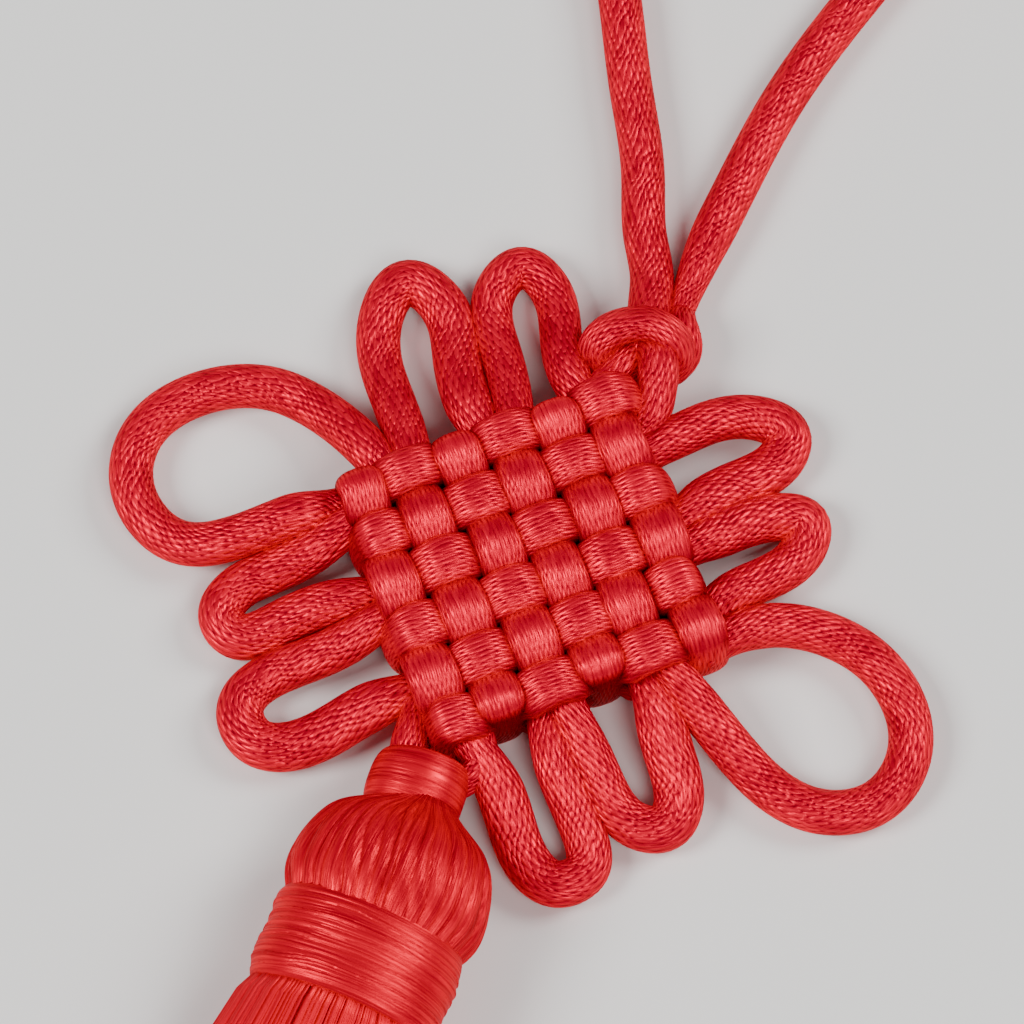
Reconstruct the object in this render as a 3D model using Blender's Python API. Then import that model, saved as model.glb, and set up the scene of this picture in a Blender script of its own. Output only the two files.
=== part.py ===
"""Chinese knot tassel of red satin cord, lying flat on its back.

Four solids: the tied cord (a woven square with its ears, neck knots and
button knot), the free hanging loop, the tassel and the thread bound round it.
Metres, +Z up, the floor at z = 0. +Y runs from the tassel to the hanging loop.
"""

import math
from collections import namedtuple

import bmesh
import bpy
from mathutils import Vector

MM = 0.001

# Placement: the centre of the woven square, in millimetres
KNOT_X = 0.2
KNOT_Y = 44.0

# Cord
CORD = 2.5
LEG_CORD = 2.5
PITCH = 3.05
CELLS = 6
HALF_SQUARE = CELLS * PITCH / 2
MID_HEIGHT = 2.75
REST_HEIGHT = 1.2
FLAT_DEPTH = 0.12

# Woven square
PAD_CROWN = 2.85
PAD_VALLEY = 1.35
PAD_STEPS = 5
SIDE_STEPS = 3
WRAP_BULGE = 0.95
RIM_HEIGHT = 0.72

# Ears
EXIT_SPREAD = 0.8
ROOT_DEPTH = 1.4
EAR_DROP = 8.0
EAR_STEP = 1.45

# Each leg: the side it leaves, its exit there and which way it stands off the exit.
# Tip in mm from the square's centre. Neck and belly: share of the reach, half width in mm.
Ear = namedtuple("Ear", "first second tip neck belly")
EARS = [
    Ear(("top", 1, 1), ("top", 3, -1), (-14.1, 15.5), (0.40, 1.95), (0.74, 1.90)),
    Ear(("top", 3, 1), ("top", 5, -1), (-8.2, 18.9), (0.38, 1.90), (0.72, 1.90)),
    Ear(("left", 0, 1), ("left", 2, -1), (-16.0, -8.9), (0.40, 1.50), (0.75, 1.75)),
    Ear(("left", 2, 1), ("left", 4, -1), (-12.3, -14.6), (0.40, 2.10), (0.72, 2.20)),
    Ear(("bottom", 0, 1), ("bottom", 2, -1), (9.8, -15.8), (0.38, 1.90), (0.70, 1.85)),
    Ear(("bottom", 2, 1), ("bottom", 4, -1), (13.0, -10.7), (0.35, 1.90), (0.68, 2.00)),
    Ear(("right", 1, 1), ("right", 3, -1), (9.7, 15.6), (0.36, 1.80), (0.70, 1.75)),
    Ear(("right", 3, 1), ("right", 5, -1), (13.4, 10.4), (0.36, 1.80), (0.68, 1.70)),
    Ear(("top", 1, -1), ("left", 0, -1), (-25.0, -0.5), (0.26, 3.90), (0.62, 5.35)),
    Ear(("right", 5, 1), ("bottom", 4, 1), (24.5, -1.7), (0.28, 4.10), (0.64, 5.10)),
]

# Where each side of the square starts, and which way its exits count, in the square's own axes
SIDES = {
    "top": {"out": (0, 1), "along": (1, 0)},
    "left": {"out": (-1, 0), "along": (0, -1)},
    "bottom": {"out": (0, -1), "along": (1, 0)},
    "right": {"out": (1, 0), "along": (0, -1)},
}

# Cord routes round the two neck knots, each a list of centreline points in mm from the square's centre
NECK_ROUTES = [
    [(-1.2, 10.2, 2.75), (-0.9, 12.4, 2.7), (-0.7, 14.2, 2.5), (-0.5, 15.8, 2.4)],
    [(2.4, 9.9, 2.75), (2.3, 12.0, 2.7), (2.0, 14.0, 2.5), (1.3, 16.0, 2.4)],
]
BUTTON_ROUTES = [
    [
        (-1.6, 14.6, 1.9), (-2.0, 15.7, 3.0), (-1.0, 17.0, 3.6),
        (0.8, 17.6, 3.5), (2.1, 17.3, 2.7), (2.4, 16.1, 1.6),
    ],
    [(2.2, 15.6, 3.1), (2.4, 16.7, 2.2), (1.3, 17.3, 1.35), (-0.6, 17.0, 1.3), (-1.9, 16.0, 1.5)],
]
TAIL_ROUTES = [
    [
        (-2.6, -8.9, 2.75), (-2.9, -11.0, 2.9), (-2.7, -12.6, 3.3),
        (-1.3, -13.5, 3.7), (0.5, -13.4, 3.4), (1.4, -12.9, 2.6),
    ],
    [(0.4, -10.9, 2.75), (0.7, -11.9, 3.0), (0.5, -13.0, 2.4)],
    [(-2.4, -12.9, 1.7), (-1.0, -13.5, 1.4), (0.6, -13.2, 1.5)],
]
BUTTON_CORE = {"centre": (0.2, 16.2, 2.4), "radii": (2.3, 1.9, 2.2)}
TAIL_CORE = {"centre": (-0.8, -13.1, 2.6), "radii": (2.3, 1.9, 2.1)}
KNOT_STEP = 1.5

# Hanging loop, centreline points in mm from the square's centre
LOOP_ROUTE = [
    (-1.2, 18.9, 1.8), (-2.3, 23.0, 1.3), (-4.2, 27.2, 1.2), (-7.0, 31.8, 1.2), (-10.3, 37.0, 1.2),
    (-14.2, 44.5, 1.2), (-17.6, 54.0, 1.2), (-19.3, 65.0, 1.2), (-19.0, 77.0, 1.2), (-16.2, 88.5, 1.2),
    (-10.6, 97.0, 1.2), (-3.4, 99.8, 1.2), (3.2, 96.4, 1.2), (7.4, 87.5, 1.2), (8.9, 76.0, 1.2),
    (7.9, 63.5, 1.2), (5.6, 52.0, 1.2), (3.2, 42.5, 1.2), (1.6, 34.5, 1.2), (1.1, 27.5, 1.2),
    (1.3, 23.2, 1.3), (1.9, 19.2, 1.8),
]
LOOP_STEP = 5.0

# Tassel head: distance below its top, half width and half height in mm
HEAD_TOP_Y = -15.5
HEAD_HEIGHT = 4.5
HEAD_X = 0.3
HEAD_LEAN = 0.06
LEAN_FROM = 4.0
HEAD_PROFILE = [
    {"at": 0.0, "width": 2.2, "height": 2.0},
    {"at": 0.4, "width": 3.2, "height": 2.8},
    {"at": 1.4, "width": 4.4, "height": 3.5},
    {"at": 3.0, "width": 5.4, "height": 4.2},
    {"at": 5.0, "width": 6.0, "height": 4.6},
    {"at": 6.6, "width": 5.9, "height": 4.5},
    {"at": 7.5, "width": 5.4, "height": 4.1},
    {"at": 7.8, "width": 4.75, "height": 3.5},
    {"at": 13.5, "width": 4.75, "height": 3.5},
]
HEAD_SEGMENTS = 48
HEAD_BUNDLES = 16
GROOVE_DEPTH = 0.22
GROOVE_RANGE = (0.6, 7.0)

# Tassel skirt
STRAND_SIZE = 0.36
STRAND_ROWS = 11
STRAND_PITCH = (0.70, 0.62)
STRAND_ROOT = 1.0
SKIRT_LENGTH = 80.0
UNEVEN_ENDS = 4.0
SKIRT_STEPS = 5
SKIRT_SWAY = 1.3
SWAY_LENGTH = 26.0
SKIRT_PROFILE = [
    {"at": 0.0, "width": 4.3, "height": 3.0, "middle": 4.5},
    {"at": 4.0, "width": 6.0, "height": 3.5, "middle": 4.1},
    {"at": 14.0, "width": 6.5, "height": 3.1, "middle": 3.4},
    {"at": 40.0, "width": 7.2, "height": 2.9, "middle": 3.1},
    {"at": 80.0, "width": 8.1, "height": 2.7, "middle": 2.9},
]

# Thread bound round the tassel
BAND_START = 8.1
BAND_LENGTH = 5.2
BAND_INNER = (5.07, 3.82)
BAND_OUTER = (5.75, 4.5)
BAND_TURNS = 5
BAND_RIDGE = 0.16
BAND_SEGMENTS = 40

CORD_RED = (0.62, 0.010, 0.014, 1.0)
THREAD_RED = (0.55, 0.008, 0.012, 1.0)
BINDING_RED = (0.66, 0.014, 0.018, 1.0)


# Scene helpers


def clear_scene():
    """Empty the file that Blender starts with."""
    for item in list(bpy.data.objects):
        bpy.data.objects.remove(item, do_unlink=True)


def make_material(name, colour, roughness):
    """A plain cloth material with the given colour."""
    material = bpy.data.materials.new(name)
    material.use_nodes = True
    shader = material.node_tree.nodes["Principled BSDF"]
    shader.inputs["Base Color"].default_value = colour
    shader.inputs["Roughness"].default_value = roughness
    shader.inputs["Metallic"].default_value = 0.0
    material.diffuse_color = colour
    return material


def object_from(name, bm):
    """Turn a bmesh into an object of the part's collection."""
    mesh = bpy.data.meshes.new(name)
    bm.to_mesh(mesh)
    bm.free()
    item = bpy.data.objects.new(name, mesh)
    COLLECTION.objects.link(item)
    return item


def finish(item, name, material):
    """Name a finished solid, give it its material and shade it smooth."""
    item.name = name
    item.data.name = name
    item.data.materials.clear()
    item.data.materials.append(material)
    item.data.shade_smooth()
    item.data.set_sharp_from_angle(angle=math.radians(50))


def placed(point):
    """A point in mm from the square's centre, as metres in the part's frame."""
    return Vector(((point[0] + KNOT_X) * MM, (point[1] + KNOT_Y) * MM, point[2] * MM))


def settle(item):
    """Flatten what lies against the floor, so that it rests there."""
    for vertex in item.data.vertices:
        if vertex.co.z < FLAT_DEPTH * MM:
            vertex.co.z = 0.0


# Curves


def smooth_route(points, step):
    """A smooth curve through points, as evenly spaced points about a step apart."""
    ends = [points[0]] + list(points) + [points[-1]]
    fine = []
    for p0, p1, p2, p3 in zip(ends, ends[1:], ends[2:], ends[3:]):
        p0, p1, p2, p3 = Vector(p0), Vector(p1), Vector(p2), Vector(p3)
        for i in range(16):
            t = i / 16
            fine.append(
                0.5
                * (
                    2 * p1
                    + (p2 - p0) * t
                    + (2 * p0 - 5 * p1 + 4 * p2 - p3) * t**2
                    + (3 * p1 - 3 * p2 + p3 - p0) * t**3
                )
            )
    fine.append(Vector(points[-1]))
    distance = [0.0]
    for a, b in zip(fine, fine[1:]):
        distance.append(distance[-1] + (b - a).length)
    count = max(2, round(distance[-1] / step))
    even = []
    k = 0
    for i in range(count + 1):
        target = distance[-1] * i / count
        while k < len(fine) - 2 and distance[k + 1] < target:
            k += 1
        span = distance[k + 1] - distance[k]
        even.append(fine[k].lerp(fine[k + 1], (target - distance[k]) / span if span else 0.0))
    return even


def swept(name, routes, diameter, resolution):
    """Round cords of one diameter along routes in mm, as one mesh object."""
    curve = bpy.data.curves.new(name, "CURVE")
    curve.dimensions = "3D"
    curve.bevel_depth = diameter / 2 * MM
    curve.bevel_resolution = resolution
    curve.use_fill_caps = True
    for route in routes:
        spline = curve.splines.new("POLY")
        spline.points.add(len(route) - 1)
        for point, target in zip(spline.points, route):
            point.co = (*placed(target), 1.0)
    holder = bpy.data.objects.new(name, curve)
    COLLECTION.objects.link(holder)
    bpy.context.view_layer.update()
    evaluated = holder.evaluated_get(bpy.context.evaluated_depsgraph_get())
    mesh = bpy.data.meshes.new_from_object(evaluated)
    bpy.data.objects.remove(holder, do_unlink=True)
    bpy.data.curves.remove(curve)
    bm = bmesh.new()
    bm.from_mesh(mesh)
    bmesh.ops.remove_doubles(bm, verts=bm.verts, dist=1e-7)
    bmesh.ops.recalc_face_normals(bm, faces=bm.faces)
    bpy.data.meshes.remove(mesh)
    return object_from(name, bm)


def united(target, others):
    """Join solids that overlap into one closed body."""
    for other in others:
        joint = target.modifiers.new("Join", "BOOLEAN")
        joint.operation = "UNION"
        joint.solver = "EXACT"
        joint.use_self = True
        joint.object = other
        bpy.context.view_layer.update()
        evaluated = target.evaluated_get(bpy.context.evaluated_depsgraph_get())
        joined = bpy.data.meshes.new_from_object(evaluated)
        target.modifiers.clear()
        target.data = joined
        bpy.data.objects.remove(other, do_unlink=True)
    return target


# Woven square


def cell_at(u, w):
    """Row, column and the place inside the cell, from -0.5 to 0.5, of a point of the square."""
    column = min(CELLS - 1, max(0, int((u + HALF_SQUARE) // PITCH)))
    row = min(CELLS - 1, max(0, int((HALF_SQUARE - w) // PITCH)))
    across_u = (u + HALF_SQUARE) / PITCH - column - 0.5
    across_w = row + 0.5 - (HALF_SQUARE - w) / PITCH
    return row, column, across_u, across_w


def row_strand_on_top(row, column):
    """True where the strand that runs along the row covers the other."""
    return (row + column) % 2 == 1


def pad_height(u, w):
    """Half thickness of the square: a rounded pad where a strand crosses over, a valley where it dives."""
    row, column, a, b = cell_at(u, w)
    along, across = (a, b) if row_strand_on_top(row, column) else (b, a)
    index = column if row_strand_on_top(row, column) else CELLS - 1 - row
    outer = (index == 0 and along < 0) or (index == CELLS - 1 and along > 0)
    dive = 1 - (1 - RIM_HEIGHT) * (2 * along) ** 2 if outer else 1 - abs(2 * along) ** 3
    round_section = math.sqrt(max(0.0, 1 - (2 * across) ** 2))
    return PAD_VALLEY + (PAD_CROWN - PAD_VALLEY) * dive * round_section


def wrap_bulge(u, w):
    """How far a strand that wraps over the square's edge stands out there."""
    row, column, a, b = cell_at(u, w)
    on_u_side = abs(u) >= HALF_SQUARE - 1e-6
    wraps = row_strand_on_top(row, column) if on_u_side else not row_strand_on_top(row, column)
    across = b if on_u_side else a
    return WRAP_BULGE * math.sqrt(max(0.0, 1 - (2 * across) ** 2)) if wraps else 0.0


def woven_square():
    """The six by six weave: a gridded box whose points are raised into pads on both faces."""
    bm = bmesh.new()
    bmesh.ops.create_cube(bm, size=2.0)
    for axis, cuts in ((2, SIDE_STEPS - 1), (0, CELLS * PAD_STEPS - 1), (1, CELLS * PAD_STEPS - 1)):
        edges = [e for e in bm.edges if abs(e.verts[0].co[axis] - e.verts[1].co[axis]) > 1e-6]
        bmesh.ops.subdivide_edges(bm, edges=edges, cuts=cuts, use_grid_fill=True)
    for vertex in bm.verts:
        u = vertex.co.x * HALF_SQUARE
        w = vertex.co.y * HALF_SQUARE
        level = vertex.co.z
        height = pad_height(u, w)
        if abs(level) < 0.999:
            angle = math.acos(level)
            out = wrap_bulge(u, w) * math.sin(angle)
            on_u_side = abs(u) >= HALF_SQUARE - 1e-6
            u += math.copysign(out, u) if on_u_side else 0.0
            w += 0.0 if on_u_side else math.copysign(out, w)
        turn = math.sqrt(0.5)
        target = ((u - w) * turn, (u + w) * turn, max(0.0, MID_HEIGHT + height * level))
        vertex.co = placed(target)
    bmesh.ops.recalc_face_normals(bm, faces=bm.faces)
    return object_from("woven_square", bm)


# Ears and knots


def exit_point(side, index, shift, depth):
    """Where a leg leaves the square, in mm from its centre; a depth above zero lies inside."""
    out = Vector(SIDES[side]["out"])
    along = Vector(SIDES[side]["along"])
    place = out * (HALF_SQUARE - depth) + along * ((index - (CELLS - 1) / 2) * PITCH + shift * EXIT_SPREAD)
    turn = math.sqrt(0.5)
    return Vector(((place.x - place.y) * turn, (place.x + place.y) * turn))


def ear_route(ear):
    """The centreline of one ear, from its root in the square round its tip and back."""
    roots = [exit_point(*leg, 0.0) for leg in (ear.first, ear.second)]
    insides = [exit_point(*leg, ROOT_DEPTH) for leg in (ear.first, ear.second)]
    middle = (roots[0] + roots[1]) / 2
    tip = Vector(ear.tip)
    reach = tip - middle
    sideways = Vector((-reach.y, reach.x)).normalized()
    if sideways.dot(roots[0] - middle) < 0:
        sideways = -sideways
    widths = (ear.neck, ear.belly)
    legs = [[middle + reach * at + sideways * sign * width for at, width in widths] for sign in (1, -1)]
    flat = [insides[0], roots[0], *legs[0], tip, *reversed(legs[1]), roots[1], insides[1]]
    flat = smooth_route([(p.x, p.y, 0.0) for p in flat], EAR_STEP)
    length = sum((b - a).length for a, b in zip(flat, flat[1:]))
    route = []
    travelled = 0.0
    for i, point in enumerate(flat):
        travelled += (point - flat[i - 1]).length if i else 0.0
        run = max(0.0, min(travelled, length - travelled) - ROOT_DEPTH)
        drop = min(1.0, run / EAR_DROP)
        drop = drop * drop * (3 - 2 * drop)
        route.append((point.x, point.y, MID_HEIGHT + (REST_HEIGHT - MID_HEIGHT) * drop))
    return route


def ellipsoid(name, core):
    """The packed middle of a small knot."""
    bm = bmesh.new()
    bmesh.ops.create_uvsphere(bm, u_segments=16, v_segments=10, radius=1.0)
    centre = core["centre"]
    for vertex in bm.verts:
        offset = [c + v * r for c, v, r in zip(centre, vertex.co, core["radii"])]
        vertex.co = placed(offset)
    return object_from(name, bm)


def knot_cord():
    """The tied cord: the square with its ears, neck knot and button knot as one body."""
    pieces = [swept("ear", [ear_route(ear)], LEG_CORD, 2) for ear in EARS]
    for routes in (NECK_ROUTES, BUTTON_ROUTES, TAIL_ROUTES):
        for route in routes:
            pieces.append(swept("knot", [smooth_route(route, KNOT_STEP)], LEG_CORD, 2))
    pieces.append(ellipsoid("button", BUTTON_CORE))
    pieces.append(ellipsoid("tail", TAIL_CORE))
    for piece in pieces:
        settle(piece)
    return united(woven_square(), pieces)


def hanging_loop():
    """The free bight of cord above the button knot."""
    loop = swept("loop", [smooth_route(LOOP_ROUTE, LOOP_STEP)], CORD, 2)
    settle(loop)
    return loop


# Tassel


def between(rows, at, key):
    """Read a column of a profile table at a distance, easing from row to row."""
    for low, high in zip(rows, rows[1:]):
        if at <= high["at"]:
            t = max(0.0, (at - low["at"]) / (high["at"] - low["at"]))
            return low[key] + (high[key] - low[key]) * t
    return rows[-1][key]


def middle_x(at):
    """The tassel's axis, which leans a little to the right below the head."""
    return HEAD_X + HEAD_LEAN * max(0.0, at - LEAN_FROM)


def tassel_head():
    """The folded bundle: a round head with grooves between its bundles, and the waist under the binding."""
    rings = [row["at"] for row in HEAD_PROFILE]
    bm = bmesh.new()
    bmesh.ops.create_cone(
        bm, cap_ends=True, segments=HEAD_SEGMENTS, radius1=1.0, radius2=1.0, depth=2.0
    )
    sides = [e for e in bm.edges if abs(e.verts[0].co.z - e.verts[1].co.z) > 1e-6]
    bmesh.ops.subdivide_edges(bm, edges=sides, cuts=len(rings) - 2)
    for vertex in bm.verts:
        ring = round((1 - vertex.co.z) / 2 * (len(rings) - 1))
        at = rings[ring]
        row = HEAD_PROFILE[ring]
        angle = math.atan2(vertex.co.y, vertex.co.x)
        grooved = GROOVE_RANGE[0] <= at <= GROOVE_RANGE[1]
        groove = GROOVE_DEPTH * max(0.0, math.cos(HEAD_BUNDLES * angle)) if grooved else 0.0
        x = middle_x(at) + (row["width"] - groove) * math.cos(angle)
        z = HEAD_HEIGHT + (row["height"] - groove) * math.sin(angle)
        vertex.co = placed((x, HEAD_TOP_Y - at, max(0.0, z)))
    bmesh.ops.recalc_face_normals(bm, faces=bm.faces)
    return object_from("tassel_head", bm)


def strand_places():
    """Where the strands stand in the skirt's section, as fractions of its half width and half height."""
    places = []
    root = SKIRT_PROFILE[0]
    for row in range(STRAND_ROWS):
        z = (row - (STRAND_ROWS - 1) / 2) * STRAND_PITCH[1]
        reach = root["width"] * math.sqrt(max(0.0, 1 - (z / (root["height"] + STRAND_PITCH[1])) ** 2))
        half = int(reach // STRAND_PITCH[0]) + 1
        for i in range(-half, half + 1):
            x = (i + 0.5 * (row % 2)) * STRAND_PITCH[0]
            if abs(x) <= reach:
                places.append((x / root["width"], z / root["height"]))
    return places


def skirt_routes():
    """The strands' centrelines: they flare below the binding, sink to the floor and end unevenly."""
    start = HEAD_PROFILE[-1]["at"] - STRAND_ROOT
    routes = []
    for k, (across, up) in enumerate(strand_places()):
        length = SKIRT_LENGTH - UNEVEN_ENDS * (0.5 + 0.5 * math.sin(2.4 * k))
        route = []
        for i in range(SKIRT_STEPS + 1):
            at = length * (i / SKIRT_STEPS) ** 1.6
            sway = SKIRT_SWAY * math.sin(at / SWAY_LENGTH) * min(1.0, at / SWAY_LENGTH)
            x = middle_x(start) + across * between(SKIRT_PROFILE, at, "width") + sway
            z = between(SKIRT_PROFILE, at, "middle") + up * between(SKIRT_PROFILE, at, "height")
            y = HEAD_TOP_Y - start - at
            route.append((x, y, max(STRAND_SIZE / 2, z)))
        routes.append(route)
    return routes


def tassel():
    """The head with its skirt of strands, fused at their roots."""
    strands = swept("strands", skirt_routes(), STRAND_SIZE, 0)
    settle(strands)
    return united(tassel_head(), [strands])


def binding_band():
    """The thread wound round the tassel's waist, as a ridged ring clear of the waist."""
    top = HEAD_TOP_Y - BAND_START
    ridges = 2 * BAND_TURNS + 1
    profile = [(BAND_INNER[0], 0.0), (BAND_INNER[0], BAND_LENGTH)]
    for i in reversed(range(ridges)):
        low = i % 2 == 0
        profile.append((BAND_OUTER[0] - (BAND_RIDGE if low else 0.0), BAND_LENGTH * i / (ridges - 1)))
    bm = bmesh.new()
    corners = [bm.verts.new((x, -y, 0.0)) for x, y in profile]
    for a, b in zip(corners, corners[1:] + corners[:1]):
        bm.edges.new((a, b))
    bmesh.ops.spin(
        bm,
        geom=bm.verts[:] + bm.edges[:],
        cent=(0, 0, 0),
        axis=(0, 1, 0),
        angle=math.tau,
        steps=BAND_SEGMENTS,
        use_merge=True,
    )
    bmesh.ops.remove_doubles(bm, verts=bm.verts, dist=1e-5)
    for vertex in bm.verts:
        radius = math.hypot(vertex.co.x, vertex.co.z)
        share = (radius - BAND_INNER[0]) / (BAND_OUTER[0] - BAND_INNER[0])
        tall = BAND_INNER[1] + (BAND_OUTER[1] - BAND_INNER[1]) * share
        angle = math.atan2(vertex.co.z, vertex.co.x)
        x = middle_x(BAND_START - vertex.co.y) + radius * math.cos(angle)
        z = HEAD_HEIGHT + tall * math.sin(angle)
        vertex.co = placed((x, top + vertex.co.y, max(0.0, z)))
    bmesh.ops.recalc_face_normals(bm, faces=bm.faces)
    return object_from("band", bm)


clear_scene()
COLLECTION = bpy.data.collections.new("chinese_knot_tassel")
bpy.context.scene.collection.children.link(COLLECTION)

finish(knot_cord(), "knot_cord", make_material("satin_cord", CORD_RED, 0.45))
finish(hanging_loop(), "hanging_loop", make_material("loop_cord", CORD_RED, 0.45))
finish(tassel(), "tassel", make_material("tassel_thread", THREAD_RED, 0.5))
finish(binding_band(), "binding_band", make_material("binding_thread", BINDING_RED, 0.5))
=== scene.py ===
"""Looks of the Chinese knot tassel: satin cord, silky tassel, wound binding, floor, light and camera."""

import logging
import math
from dataclasses import dataclass, field
from enum import Enum

import bpy
import numpy as np
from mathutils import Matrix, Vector


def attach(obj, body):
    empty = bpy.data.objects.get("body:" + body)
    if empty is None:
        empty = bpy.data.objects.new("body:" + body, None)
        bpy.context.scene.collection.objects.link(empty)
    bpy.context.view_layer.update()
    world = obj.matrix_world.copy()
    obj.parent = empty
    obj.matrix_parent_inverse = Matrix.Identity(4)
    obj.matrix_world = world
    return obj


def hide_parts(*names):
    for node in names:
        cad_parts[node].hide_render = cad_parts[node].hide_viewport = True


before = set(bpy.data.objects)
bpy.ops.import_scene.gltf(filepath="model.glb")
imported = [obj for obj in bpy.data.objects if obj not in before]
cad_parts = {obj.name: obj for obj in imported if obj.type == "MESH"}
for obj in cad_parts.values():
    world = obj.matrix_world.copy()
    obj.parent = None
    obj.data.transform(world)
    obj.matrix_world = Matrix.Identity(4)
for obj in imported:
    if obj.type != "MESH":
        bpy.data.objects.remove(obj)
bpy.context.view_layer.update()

log = logging.getLogger("chinese_knot_tassel")

# One number, or an array of them
Measure = float | np.ndarray

MM = 0.001

# The woven square's centre and its weave, in mm, as in the solids
KNOT_CENTRE = (0.2, 44.0)
PITCH = 3.05
CELLS = 6
HALF_SQUARE = CELLS * PITCH / 2
MID_HEIGHT = 2.75
TURN = math.sqrt(0.5)

# How far the tied square has settled along and across its rows, in mm, and how much it leans in a mm
SETTLED = (0.30, 0.78)
SKEW = 0.03

# A spline's pace over a chord, as a power of its length, and its points for each row before they are spaced
CHORD_POWER = 0.8
FINE_POINTS = 24

# The least length that a row is divided by
SHORTEST = 1e-12

# Where the square's rim starts and ends past its half width, and how far from the middle height its crevices
# and crowns lie, in mm; between them runs the shade painted into the crevices between its strands
RIM = (-0.7, 0.3)
CREVICE_TO_CROWN = (1.3, 2.65)


class Side(Enum):
    """A side of the woven square: the way out of it and the way its exits count, in its own axes."""

    TOP = ((0.0, 1.0), (1.0, 0.0))
    LEFT = ((-1.0, 0.0), (0.0, -1.0))
    BOTTOM = ((0.0, -1.0), (1.0, 0.0))
    RIGHT = ((1.0, 0.0), (0.0, -1.0))


# Curves and swept meshes


def turned(u: Measure, w: Measure) -> tuple[Measure, Measure]:
    """Turn a direction or place in the square's own axes into the part's X and Y, in mm.

    Args:
        u: Distance along the square's rows.
        w: Distance across them, towards the first row.

    Returns:
        X and Y in mm.
    """
    return (u - w) * TURN, (u + w) * TURN


def settled(u: Measure, w: Measure) -> tuple[Measure, Measure]:
    """Place a point of the tied square, which has settled a little off an even one.

    Args:
        u: Distance along the rows of an even square.
        w: Distance across them, towards the first row.

    Returns:
        X and Y in mm from the square's centre.
    """
    return turned(u + SETTLED[0] + SKEW * w, w + SETTLED[1])


def placed(points: np.ndarray) -> np.ndarray:
    """Move points in mm from the square's centre into the part's frame, in metres.

    Args:
        points: Rows of X, Y and Z in mm.

    Returns:
        The same rows in metres in the part's frame.
    """
    return (np.asarray(points, float) + (KNOT_CENTRE[0], KNOT_CENTRE[1], 0.0)) * MM


def spline(rows: list | np.ndarray, step: float) -> np.ndarray:
    """Run a smooth curve through rows and space it evenly by its first three columns.

    It is a natural cubic spline over the length of the chords between the points.

    Args:
        rows: Points with X, Y, Z and any further columns, which are carried along.
        step: Wanted distance between points, in the rows' own unit.

    Returns:
        Evenly spaced rows with the same columns.
    """
    rows = np.asarray(rows, float)
    gaps = np.linalg.norm(np.diff(rows[:, :3], axis=0), axis=1) ** CHORD_POWER
    t = np.concatenate([[0.0], np.cumsum(gaps)])
    n = len(rows)
    bends = np.eye(n)
    slopes = np.zeros_like(rows)
    for i in range(1, n - 1):
        bends[i, i - 1 : i + 2] = (gaps[i - 1], 2 * (gaps[i - 1] + gaps[i]), gaps[i])
        slopes[i] = 6 * ((rows[i + 1] - rows[i]) / gaps[i] - (rows[i] - rows[i - 1]) / gaps[i - 1])
    bend = np.linalg.solve(bends, slopes)
    at = np.linspace(0.0, t[-1], FINE_POINTS * n)
    i = np.clip(np.searchsorted(t, at, side="right") - 1, 0, n - 2)
    gap = gaps[i][:, None]
    b = (at[:, None] - t[i][:, None]) / gap
    a = 1 - b
    fine = a * rows[i] + b * rows[i + 1] + ((a**3 - a) * bend[i] + (b**3 - b) * bend[i + 1]) * gap**2 / 6
    run = np.concatenate([[0.0], np.cumsum(np.linalg.norm(np.diff(fine[:, :3], axis=0), axis=1))])
    count = max(2, int(round(run[-1] / step)))
    places = np.linspace(0.0, run[-1], count + 1)
    return np.column_stack([np.interp(places, run, column) for column in fine.T])


def unit(rows: np.ndarray) -> np.ndarray:
    """Scale each row to length one."""
    return rows / np.maximum(np.linalg.norm(rows, axis=1, keepdims=True), SHORTEST)


def smoothstep(x: Measure, low: Measure = 0.0, high: Measure = 1.0) -> Measure:
    """Ease from 0 to 1 as x goes from low to high."""
    x = np.clip((x - low) / (high - low), 0.0, 1.0)
    return x * x * (3 - 2 * x)


def ripples(angle: np.ndarray, along: np.ndarray, phases: np.ndarray | tuple, rows: tuple) -> np.ndarray:
    """A sum of waves that run round a form and drift along it.

    Args:
        angle: Place round the form, in radians.
        along: Place along it, in mm.
        phases: Where each wave starts, in radians.
        rows: Each wave's reach, its waves in a turn, and its drift in radians a mm.

    Returns:
        The sum.
    """
    return sum(
        reach * np.sin(turns * angle + phase + drift * along)
        for (reach, turns, drift), phase in zip(rows, phases)
    )


def tube_faces(
    way: np.ndarray, run: np.ndarray, twist: float = 0.0, counterclockwise: bool = False
) -> tuple[list, list]:
    """Faces of a tube made of rings, with a cap on each end, and their places on its UV map.

    Args:
        way: The share of the way round at each point of a ring, and 1 at its end.
        run: The length along at each ring, in mm.
        twist: Share of a turn that the map drifts by in a mm.
        counterclockwise: Whether a ring's points run that way round, seen from the next ring.

    Returns:
        The faces, whose points count from 0, and the UV places of their corners.
    """
    rings, sides = len(run), len(way) - 1
    i, k = np.meshgrid(np.arange(rings - 1), np.arange(sides), indexing="ij")
    corners = [(i, k), (i + 1, k), (i + 1, k + 1), (i, k + 1)]
    if counterclockwise:
        corners = [corners[0], *corners[:0:-1]]
    quads = np.stack([ring * sides + side % sides for ring, side in corners], axis=-1)
    faces = quads.reshape(-1, 4).tolist()
    places = [np.stack([way[side] + twist * run[ring], run[ring]], axis=-1) for ring, side in corners]
    maps = [np.stack(places, axis=2).reshape(-1, 2)]
    for ring in (0, rings - 1):
        cap = [ring * sides + side for side in range(sides)]
        faces.append(cap if (ring == 0) != counterclockwise else cap[::-1])
        maps.append(np.tile([0.0, run[ring]], (sides, 1)))
    return faces, maps


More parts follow.
